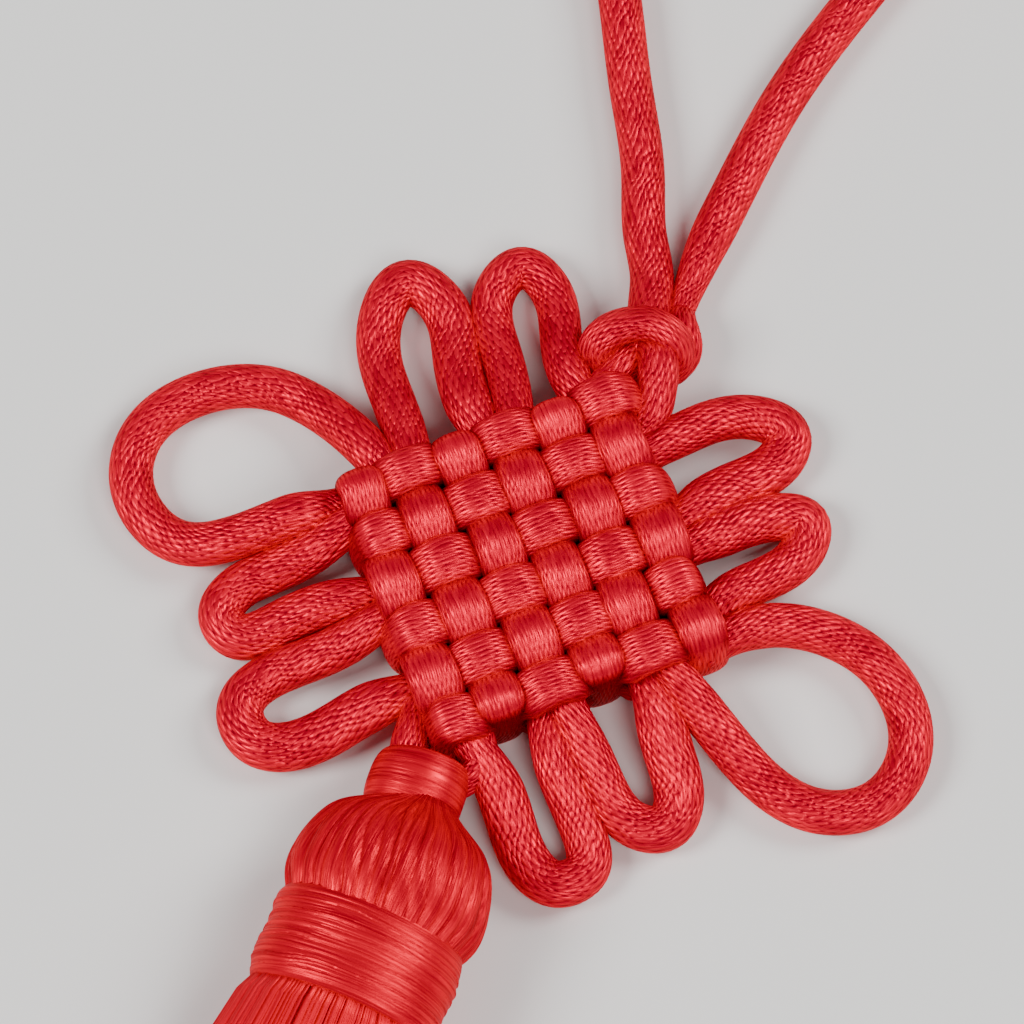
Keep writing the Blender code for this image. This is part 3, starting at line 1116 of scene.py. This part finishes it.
@dataclass
class NeckBand:
    """The turn of cord round the two strands where they enter the tassel."""

    half_across: float = 2.15
    half_up: float = 2.0
    thick: float = 0.72
    width: tuple = (1.75, 2.0)
    tilt: float = 0.08
    steps: int = 110
    turn: tuple = (-0.6 * math.pi, 1.5 * math.pi)
    square: float = 2.6

    def rows(self) -> np.ndarray:
        """The band's centreline with its half widths.

        Returns:
            Rows of X, Y, Z, half width and half height in mm.
        """
        angle = np.linspace(*self.turn, self.steps)
        x = self.half_across * np.cos(angle)
        share = 0.5 + 0.5 * np.cos(angle)
        return np.column_stack(
            [
                NECK_MIDDLE[0] + x,
                NECK_MIDDLE[1] + self.tilt * x,
                NECK_MIDDLE[2] + self.half_up * np.sin(angle),
                self.width[0] + (self.width[1] - self.width[0]) * share,
                np.full(self.steps, self.thick),
            ]
        )


@dataclass
class SmallKnots:
    """The button knot above the square and the neck knot below it."""

    sides: int = 40
    square: float = 2.2
    step: float = 0.12
    map_start: float = 30.0

    def build(self, finish: bpy.types.Material, band_finish: bpy.types.Material) -> None:
        """Make both knots, and the band round the neck.

        Args:
            finish: The cord's material.
            band_finish: The material of the cord where it is pulled tight.
        """
        for name, wraps, middle in (
            ("button_knot", BUTTON_KNOT, BUTTON_MIDDLE),
            ("neck_knot", NECK_KNOT, NECK_MIDDLE),
        ):
            mesh = SweptMesh(self.sides, self.square)
            for number, wrap in enumerate(wraps):
                rows = spline(wrap.rows, self.step)
                away = unit((rows[:, :3] - middle) * (1.0, 1.0, 0.0))
                up = away * wrap.outward + (0.0, 0.0, 1.0)
                mesh.add(rows[:, :3], rows[:, 3], rows[:, 4], up, wrap.twist, self.map_start * number)
            dress(mesh.build(name), finish, "satin_cord", "knot_cord")
        band = NeckBand()
        rows = band.rows()
        mesh = SweptMesh(self.sides, band.square)
        mesh.add(rows[:, :3], rows[:, 3], rows[:, 4], unit(rows[:, :3] - NECK_MIDDLE))
        dress(mesh.build("neck_band"), band_finish, "satin_cord", "knot_cord")


# Hanging loop

# Its centreline in mm from the square's centre
LOOP_ROUTE = [
    (0.1, 17.7, 2.3),
    (-0.45, 19.1, 1.8),
    (-1.2, 21.2, 1.35),
    (-2.6, 23.5, 1.25),
    (-4.25, 27.15, 1.25),
    (-6.95, 31.8, 1.25),
    (-9.95, 37.15, 1.25),
    (-14.2, 44.5, 1.25),
    (-17.6, 54.0, 1.25),
    (-19.3, 65.0, 1.25),
    (-19.0, 77.0, 1.25),
    (-16.2, 88.5, 1.25),
    (-10.6, 97.0, 1.25),
    (-3.4, 99.8, 1.25),
    (3.2, 96.4, 1.25),
    (7.4, 87.5, 1.25),
    (8.9, 76.0, 1.25),
    (7.9, 63.5, 1.25),
    (5.6, 52.0, 1.25),
    (3.2, 42.5, 1.25),
    (1.6, 34.5, 1.25),
    (1.15, 27.5, 1.25),
    (1.05, 24.0, 1.25),
    (1.1, 22.0, 1.25),
    (1.2, 20.4, 1.4),
    (1.4, 19.0, 1.8),
]


@dataclass
class HangingLoop:
    """The free bight of cord above the button knot."""

    diameter: float = 2.58
    pinched: float = 0.36
    pinch_length: float = 7.0
    sides: int = 36
    step: float = 0.3
    every: int = 17
    twist: float = 0.014

    def build(self, finish: bpy.types.Material) -> None:
        """Args:
            finish: The cord's material.
        """
        path = spline(LOOP_ROUTE, self.step)
        pinch = self.pinched * (1 - smoothstep((path[:, 1] - LOOP_ROUTE[-1][1]) / self.pinch_length))
        coming_back = np.arange(len(path)) > len(path) / 2
        radius = self.diameter / 2 * (1 - pinch * coming_back)
        mesh = SweptMesh(self.sides)
        mesh.add(path, radius, radius, (0, 0, 1), self.twist)
        item = dress(mesh.build("hanging_cord"), finish, "satin_cord", "hanging_loop")


# Tassel

# Distance below the tassel's top, half width and half height, in mm
HEAD_PROFILE = np.array(
    [
        (-0.4, 1.6, 1.1),
        (0.2, 2.4, 1.5),
        (0.8, 3.3, 2.1),
        (1.6, 4.45, 2.95),
        (3.0, 5.4, 3.95),
        (5.0, 5.9, 4.5),
        (6.6, 5.85, 4.45),
        (7.5, 5.5, 4.2),
        (8.3, 5.2, 3.9),
        (9.5, 5.0, 3.8),
        (13.5, 5.0, 3.8),
    ]
)
# Distance below the waist, half width, half height and height of the middle, in mm
SKIRT_PROFILE = np.array(
    [
        (0.0, 5.0, 3.7, 4.5),
        (1.5, 5.7, 3.9, 4.45),
        (4.0, 6.2, 3.7, 4.2),
        (14.0, 6.7, 3.2, 3.4),
        (40.0, 7.2, 2.9, 3.1),
        (80.0, 8.1, 2.7, 2.9),
    ]
)


@dataclass
class Tassel:
    """The folded head of silk and its skirt of threads.

    The lifts are those of a bundle, a fine line and a swell of the head, and of the head as a whole.
    """

    top_y: float = -15.5
    height: float = 4.5
    x: float = 0.15
    lean: float = 0.035
    lean_from: float = 4.0
    waist: float = 13.5
    around: int = 520
    rings: int = 130
    profile_step: float = 0.1
    bundles: int = 40
    bundle_widths: tuple = (0.45, 1.5)
    bundle_heights: tuple = (0.5, 1.0)
    bundle_power: float = 2.4
    warps: tuple = ((0.06, 3, 0.25), (0.035, 8, -0.5))
    slant: float = 0.02
    fine_lines: int = 83
    fine_warps: tuple = ((1.2, 5, 0.9),)
    fine_power: float = 0.8
    swells: tuple = ((0.5, 5, 0.0), (0.5, 9, 0.3))
    lifts: tuple = (0.30, 0.04, 0.06, -0.20)
    lift_share: float = 0.3
    lift_rise: tuple = (0.0, 1.5)
    lift_fall: tuple = (7.2, 8.4)
    layers: int = 2
    threads: int = 1500
    thread: float = 0.12
    thread_steps: int = 16
    step_power: float = 1.4
    shell: tuple = (0.92, 1.01)
    jitter: float = 0.05
    hidden: float = 0.8
    length: float = 80.0
    uneven: float = 4.0
    uneven_power: float = 1.5
    loose: float = 30.0
    wave: float = 0.32
    wave_lengths: tuple = (6.0, 14.0)
    wave_up: float = 0.15
    drift: float = 0.35
    off_floor: tuple = (0.9, 1.6)
    tip: float = 4.0
    taper: float = 0.35
    map_start: float = 1000.0
    sway: float = 1.3
    sway_length: float = 26.0
    seed: int = 11

    def middle_x(self, at: Measure) -> Measure:
        """The tassel's axis, which leans a little to the right below the head."""
        return self.x + self.lean * np.maximum(0.0, np.asarray(at) - self.lean_from)

    def head(self, finish: bpy.types.Material) -> None:
        """Make the head: one closed form with its bundles of thread raised.

        Args:
            finish: The thread's material.
        """
        zero = np.zeros((len(HEAD_PROFILE), 2))
        table = spline(np.column_stack([HEAD_PROFILE[:, 0], zero, HEAD_PROFILE[:, 1:]]), self.profile_step)
        at = np.linspace(HEAD_PROFILE[0, 0], HEAD_PROFILE[-1, 0], self.rings)
        width = np.interp(at, table[:, 0], table[:, 3])
        tall = np.interp(at, table[:, 0], table[:, 4])
        rng = np.random.default_rng(self.seed)
        phase = rng.uniform(0, math.tau, 12)
        a, s = np.meshgrid(np.arange(self.around) * (math.tau / self.around), at)
        warp = (a + ripples(a, s, phase[:2], self.warps) + self.slant * s) % math.tau
        edges = np.concatenate([[0.0], np.cumsum(rng.uniform(*self.bundle_widths, self.bundles))])
        edges *= math.tau / edges[-1]
        bundle = np.clip(np.searchsorted(edges, warp, side="right") - 1, 0, self.bundles - 1)
        middle = (edges[bundle] + edges[bundle + 1]) / 2
        half = (edges[bundle + 1] - edges[bundle]) / 2
        ridge = 1 - np.abs((warp - middle) / half) ** self.bundle_power
        ridge = ridge * rng.uniform(*self.bundle_heights, self.bundles)[bundle]
        lines = warp * self.fine_lines + ripples(a, s, (0.0,), self.fine_warps)
        fine = np.abs(np.sin(lines)) ** self.fine_power
        broad = ripples(a, s, phase[2:4], self.swells)
        swell = smoothstep(s, *self.lift_rise) * (1 - smoothstep(s, *self.lift_fall))
        lift = self.lifts[0] * ridge + self.lifts[1] * fine + self.lifts[2] * broad + self.lifts[3]
        lift = lift * (self.lift_share + (1 - self.lift_share) * swell)
        item = self.ringed("tassel_head", at, a, s, width[:, None] + lift, tall[:, None] + lift)
        dress(item, finish, "tassel_thread", "tassel")

    def ringed(
        self,
        name: str,
        run: np.ndarray,
        angle: np.ndarray,
        at: np.ndarray,
        width: np.ndarray,
        tall: np.ndarray,
    ) -> bpy.types.Object:
        """A closed form round the tassel's axis, with what would be below the floor lying on it.

        Args:
            name: The object's name.
            run: The length along at each ring, for the UV map.
            angle: Place round the axis at each point, in radians.
            at: Distance below the tassel's top at each point.
            width: Half the form's width at each point.
            tall: Half its height at each point.

        Returns:
            The new object, with a cap on each end.
        """
        x = self.middle_x(at) + width * np.cos(angle)
        z = np.maximum(0.0, self.height + tall * np.sin(angle))
        points = np.stack([x, self.top_y - at, z], axis=-1).reshape(-1, 3)
        sides = angle.shape[1]
        faces, maps = tube_faces(np.arange(sides + 1) / sides, run, counterclockwise=True)
        return mesh_object(name, points, faces, maps)

    def skirt(self, finish: bpy.types.Material) -> None:
        """Make the skirt: many fine threads that flare, sink to the floor and end unevenly.

        Each thread stands a golden angle on from the one before.

        Args:
            finish: The thread's material.
        """
        rng = np.random.default_rng(self.seed + 1)
        total = self.layers * self.threads
        for layer in range(self.layers):
            mesh = SweptMesh(3)
            for number in range(layer, total, self.layers):
                radius = ((number + 0.5) / total) ** 0.5 if layer == 0 else 1.0
                turn = number * math.pi * (3 - math.sqrt(5)) + rng.normal(0.0, self.jitter)
                self.thread_on(mesh, number, radius * rng.uniform(*self.shell), turn, rng)
            dress(mesh.build(f"tassel_skirt_{layer + 1}"), finish, "tassel_thread", "tassel")

    def thread_on(
        self, mesh: SweptMesh, number: int, radius: float, turn: float, rng: np.random.Generator
    ) -> None:
        """Add one thread of the skirt.

        Args:
            mesh: The mesh that it joins.
            number: The thread's number.
            radius: Its share of the way out from the skirt's middle.
            turn: Its place round the middle, in radians.
            rng: Source of small unevenness.
        """
        across, up = radius * math.cos(turn), radius * math.sin(turn)
        length = self.length - self.uneven * rng.uniform(0.0, 1.0) ** self.uneven_power
        at = length * np.linspace(0.0, 1.0, self.thread_steps + 1) ** self.step_power
        width, tall, middle = (np.interp(at, SKIRT_PROFILE[:, 0], SKIRT_PROFILE[:, i]) for i in (1, 2, 3))
        loose = smoothstep(at / self.loose)
        wave = self.wave * np.sin(at / rng.uniform(*self.wave_lengths) + rng.uniform(0, math.tau)) * loose
        drift = rng.normal(0.0, self.drift) * loose
        bow = self.sway * np.sin(at / self.sway_length) * np.minimum(1.0, at / self.sway_length)
        x = self.middle_x(self.waist) + across * width + bow + wave + drift
        lowest = self.thread * rng.uniform(*self.off_floor)
        z = np.maximum(lowest, middle + up * tall + self.wave_up * wave)
        path = np.column_stack([x, self.top_y - self.waist + self.hidden - at, z])
        half = self.thread * (1.0 - self.taper * smoothstep(at, length - self.tip, length))
        mesh.add(path, half, half, (0, 0, 1), start=self.map_start * number)


@dataclass
class Binding:
    """The thread wound round the tassel's waist: a sleeve whose turns stand up unevenly."""

    start: float = 7.5
    length: float = 5.9
    width: float = 5.72
    tall: float = 4.3
    around: int = 400
    rings: int = 150
    finest: float = 0.12
    coarsest: float = 0.26
    relief: float = 0.045
    most_turns: int = 60
    past_ends: tuple = (1.0, 2.0)
    wander: tuple = ((0.16, 1, 0.5), (0.10, 2, -0.9), (0.05, 5, 1.7), (0.03, 9, -2.3))
    ease: float = 0.8
    ridge_power: float = 2.2
    ridge_pace: float = 5.0
    ridge_least: float = 0.4
    uneven: float = 0.035
    swell: float = 0.10
    swell_pace: float = 1.9
    round_off: float = 0.42
    round_power: int = 7
    seed: int = 5

    def build(self, tassel: Tassel, finish: bpy.types.Material) -> None:
        """Make the winding.

        Args:
            tassel: The tassel that it is wound round.
            finish: The thread's material.
        """
        rng = np.random.default_rng(self.seed)
        phase = rng.uniform(0, math.tau, 8)
        angle = np.arange(self.around) * (math.tau / self.around)
        a, s = np.meshgrid(angle, np.linspace(0, self.length, self.rings))
        level_ends = smoothstep(s / self.ease) * smoothstep((self.length - s) / self.ease)
        place = s + ripples(a, s, phase[:4], self.wander) * level_ends
        edges = np.cumsum(rng.uniform(self.finest, self.coarsest, self.most_turns))
        before, after = self.past_ends
        edges = np.concatenate([[-before], edges[edges < self.length + before], [self.length + after]])
        thread = np.clip(np.searchsorted(edges, place, side="right") - 1, 0, len(edges) - 2)
        middle = (edges[thread] + edges[thread + 1]) / 2
        half = (edges[thread + 1] - edges[thread]) / 2
        ridge = 1 - np.abs((place - middle) / half) ** self.ridge_power
        ridge = ridge * (half * self.ridge_pace).clip(self.ridge_least, 1.0)
        level = rng.normal(0.0, self.uneven, len(edges))[thread]
        level += self.swell * np.sin(place * self.swell_pace + phase[4]) * np.cos(a + phase[5])
        round_off = self.round_off * (np.abs(s / self.length - 0.5) * 2) ** self.round_power
        lift = self.relief * ridge + level - round_off
        width, tall = self.width + lift, self.tall + lift
        item = tassel.ringed("binding_thread", s[:, 0], a, self.start + s, width, tall)
        dress(item, finish, "binding_thread", "binding_band")


# Stage


@dataclass
class Studio:
    """A plain pale floor, soft light and the camera at the photo's angle."""

    azimuth: float = 23.0
    elevation: float = 68.0
    distance: float = 0.55
    frame_width: float = 0.0594
    aim: tuple = (-3.08, 4.74)
    light_distance: float = 0.8
    light_size: float = 0.34
    sky: float = 0.18
    sky_colour: tuple = (0.95, 0.97, 1.0, 1.0)
    film: float = 36.0
    clip: tuple = (0.01, 20.0)
    floor_size: float = 6.0
    floor_height: float = -0.00002
    floor_colour: tuple = (0.80, 0.79, 0.77, 1.0)
    floor_roughness: float = 0.7

    def floor(self) -> None:
        """Make the floor."""
        bpy.ops.mesh.primitive_plane_add(size=self.floor_size, location=(0.0, 0.0, self.floor_height))
        floor = bpy.context.active_object
        floor.name = "floor"
        g = Graph("pale_floor")
        g.feed(g.shader.inputs["Base Color"], self.floor_colour)
        g.feed(g.shader.inputs["Roughness"], self.floor_roughness)
        floor.data.materials.append(g.material)

    def lights(self) -> None:
        """Place a soft light on each side of the knot and a weaker one below it."""
        centre = Vector((KNOT_CENTRE[0] * MM, KNOT_CENTRE[1] * MM, 0.0))
        # Each light's way from the knot, in the square's axes and up, and its power in watts
        for name, (u, w, z), power in (
            ("left_light", (-0.70, 0.08, 0.71), 5.8),
            ("right_light", (0.74, -0.05, 0.62), 4.3),
            ("low_light", (0.05, -0.62, 0.78), 3.2),
        ):
            light = bpy.data.lights.new(name, "AREA")
            light.size = self.light_size
            light.energy = power
            holder = bpy.data.objects.new(name, light)
            holder.location = centre + Vector((*turned(u, w), z)) * self.light_distance
            holder.rotation_euler = (holder.location - centre).to_track_quat("Z", "Y").to_euler()
            bpy.context.scene.collection.objects.link(holder)
        world = bpy.data.worlds.new("soft_sky")
        world.use_nodes = True
        background = world.node_tree.nodes["Background"]
        background.inputs["Color"].default_value = self.sky_colour
        background.inputs["Strength"].default_value = self.sky
        bpy.context.scene.world = world

    def camera(self) -> None:
        """Place the camera."""
        a, e = math.radians(self.azimuth), math.radians(self.elevation)
        target = Vector(placed(np.array([[*self.aim, 0.0]]))[0])
        back = Vector((math.sin(a) * math.cos(e), -math.cos(a) * math.cos(e), math.sin(e)))
        camera = bpy.data.cameras.new("camera")
        camera.sensor_width = self.film
        camera.lens = self.film * self.distance / self.frame_width
        camera.clip_start, camera.clip_end = self.clip
        holder = bpy.data.objects.new("camera", camera)
        holder.location = target + back * self.distance
        holder.rotation_euler = back.to_track_quat("Z", "Y").to_euler()
        bpy.context.scene.collection.objects.link(holder)
        bpy.context.scene.camera = holder


def main() -> None:
    """Build the scene in order."""
    logging.basicConfig(level=logging.INFO, format="%(name)s %(message)s")
    studio = Studio()
    studio.camera()
    cord = SatinFinish(name="satin_cord", columns=20, stitch=1.05).build()
    pads = SatinFinish(
        name="satin_cord_pads",
        columns=26,
        stitch=1.15,
        wander=1.4,
        depth=0.09,
        groove=(0.30, 0.0, 0.012, 1.0),
        # Shade painted into the crevices between the strands
        crevice_shade=(0.17, 0.0, 0.007, 1.0),
    ).build()
    tight = SilkFinish(
        name="neck_band_silk", lines=70.0, stretch=0.35, depth=0.05, groove=(0.2, 0.0, 0.006, 1.0)
    ).build()
    silk = SilkFinish(name="tassel_silk", lines=300.0, stretch=0.4, groove=(0.16, 0.0, 0.005, 1.0)).build()
    strands = SilkFinish(
        name="skirt_silk",
        lines=3.0,
        stretch=0.15,
        depth=0.01,
        metallic=0.4,
        groove=(0.55, 0.0, 0.016, 1.0),
        crown=(0.92, 0.0, 0.027, 1.0),
    ).build()
    winding = SilkFinish(name="binding_silk", lines=5.0, stretch=9.0, depth=0.03).build()
    HangingLoop().build(cord)
    EarSet().build(cord)
    WovenSquare().build(pads)
    SmallKnots().build(cord, tight)
    tassel = Tassel()
    tassel.head(silk)
    tassel.skirt(strands)
    Binding().build(tassel, winding)
    studio.floor()
    studio.lights()
    log.info("done")


if __name__ == "__main__":
    main()
